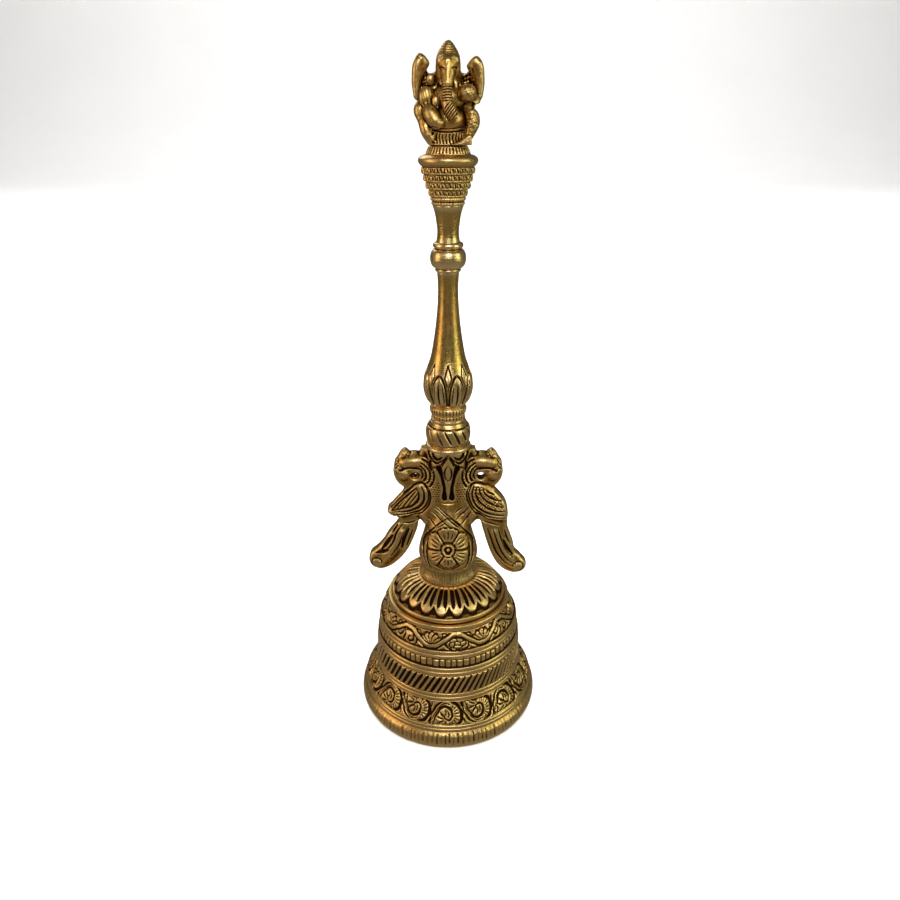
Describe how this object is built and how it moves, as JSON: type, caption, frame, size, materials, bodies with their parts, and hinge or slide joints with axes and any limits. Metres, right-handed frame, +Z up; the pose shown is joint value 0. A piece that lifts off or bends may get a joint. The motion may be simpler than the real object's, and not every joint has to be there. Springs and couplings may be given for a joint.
{
  "type": "brass puja bell",
  "caption": "Ornate brass hand bell for puja: flared relief-banded bell, bridge with two birds, turned handle stack, seated elephant-headed figure, and a clapper in crossed loops.",
  "frame": {"origin": "centre of the rim plane that the bell stands on", "axes": "+Z up the handle to the figure's crown; the figure and the flower face -Y; +X is to the right seen from the front"},
  "size_m": [0.061, 0.061, 0.2032],
  "materials": {
    "brass_antique": "cast and chased, dark patina in the recesses, rubbed bright on the high spots",
    "brass_bright": "turned and polished, lightly aged",
    "brass_dark": "dull, unpolished and darkened",
    "iron": "drawn iron wire and rod, oiled dark"
  },
  "bodies": {
    "bell": {"bell_cup": "brass_antique", "crown_flange": "brass_bright", "peacock_bridge": "brass_antique", "collar_seat": "brass_bright", "fluted_collar": "brass_antique", "thin_ring": "brass_bright", "knurled_ring": "brass_antique", "bead_ring": "brass_bright", "grip_baluster": "brass_bright", "knop": "brass_bright", "vase_neck": "brass_bright", "capital_ring": "brass_antique", "capital": "brass_antique", "deity_finial": "brass_antique", "tie_rod": "iron", "crown_eyebolt": "iron", "crown_washer": "brass_bright", "crown_nut": "brass_dark"},
    "link": {"clapper_link": "iron"},
    "clapper": {"clapper_rod": "iron", "clapper_ball": "brass_dark"}
  },
  "joints": [
    {"name": "link_swing", "type": "hinge", "parent": "bell", "child": "link", "pos_m": [0, 0, 0.0341], "axis": [0, 1, 0], "range_deg": [-38, 38]},
    {"name": "clapper_swing", "type": "hinge", "parent": "link", "child": "clapper", "pos_m": [0, 0, 0.02655], "axis": [1, 0, 0], "range_deg": [-16, 16]}
  ]
}
